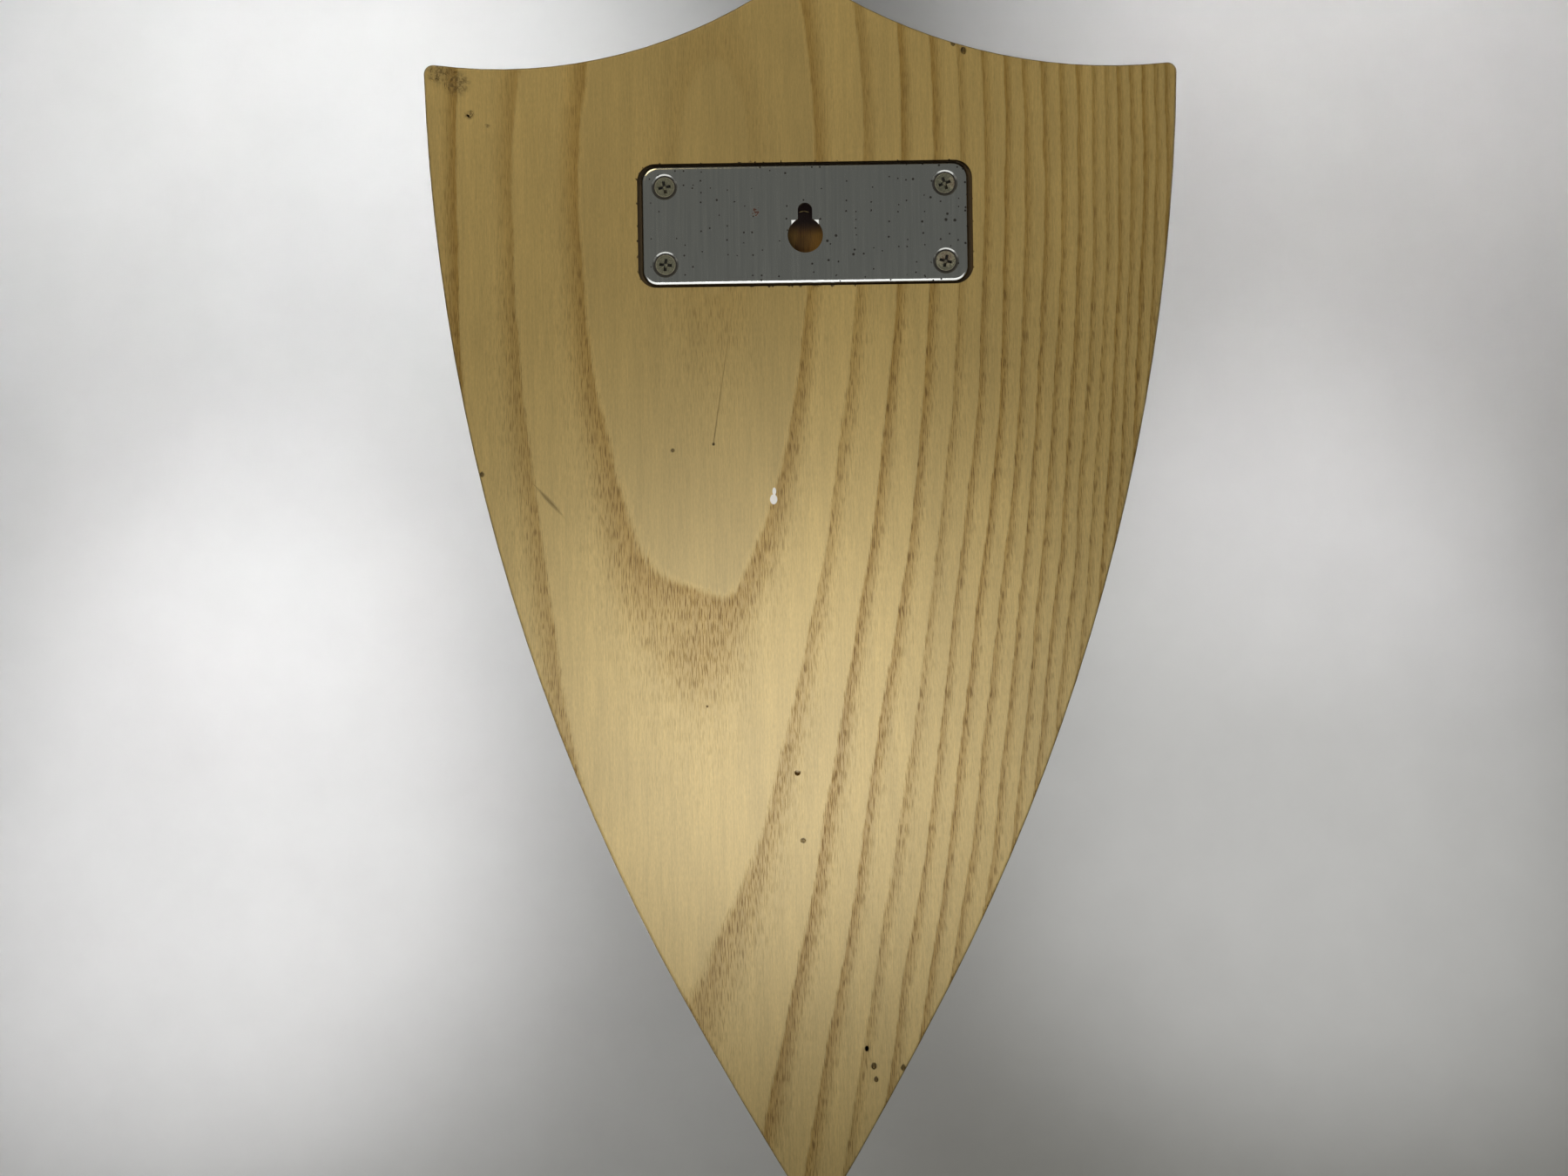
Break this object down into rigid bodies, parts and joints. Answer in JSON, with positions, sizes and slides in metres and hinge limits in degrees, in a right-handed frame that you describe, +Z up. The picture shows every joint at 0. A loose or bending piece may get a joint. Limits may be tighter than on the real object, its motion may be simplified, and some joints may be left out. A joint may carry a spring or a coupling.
{
  "type": "wooden shield plaque",
  "caption": "Heater-shaped wooden wall shield with a moulded front edge, a blank brass presentation plate in front and a screwed steel keyhole hanger let into its back.",
  "frame": {"origin": "the hanging point: centre of the round top end of the keyhole slot, in the plane of the board's back", "axes": "+Z up as the plaque hangs, +Y out of the back towards the wall, -Y out of the front, +X to the left as seen from the back"},
  "size_m": [0.2096, 0.0202, 0.3469],
  "materials": {
    "ash_wood": "sanded and thinly sealed flat-sawn ash",
    "plated_steel": "bright nickel plate with fine vertical rub marks, pits and specks of rust",
    "zinc_plated_steel": "dull yellowish zinc plate",
    "brass_sheet": "brushed and lacquered",
    "brass_pin": "polished"
  },
  "bodies": {
    "root": {"shield_board": "ash_wood", "keyhole_plate": "plated_steel", "hanger_screw_upper_left": "zinc_plated_steel", "hanger_screw_upper_right": "zinc_plated_steel", "hanger_screw_lower_left": "zinc_plated_steel", "hanger_screw_lower_right": "zinc_plated_steel", "presentation_plate": "brass_sheet", "plate_pin_peak": "brass_pin", "plate_pin_left": "brass_pin", "plate_pin_right": "brass_pin", "plate_pin_tip": "brass_pin"}
  },
  "joints": []
}
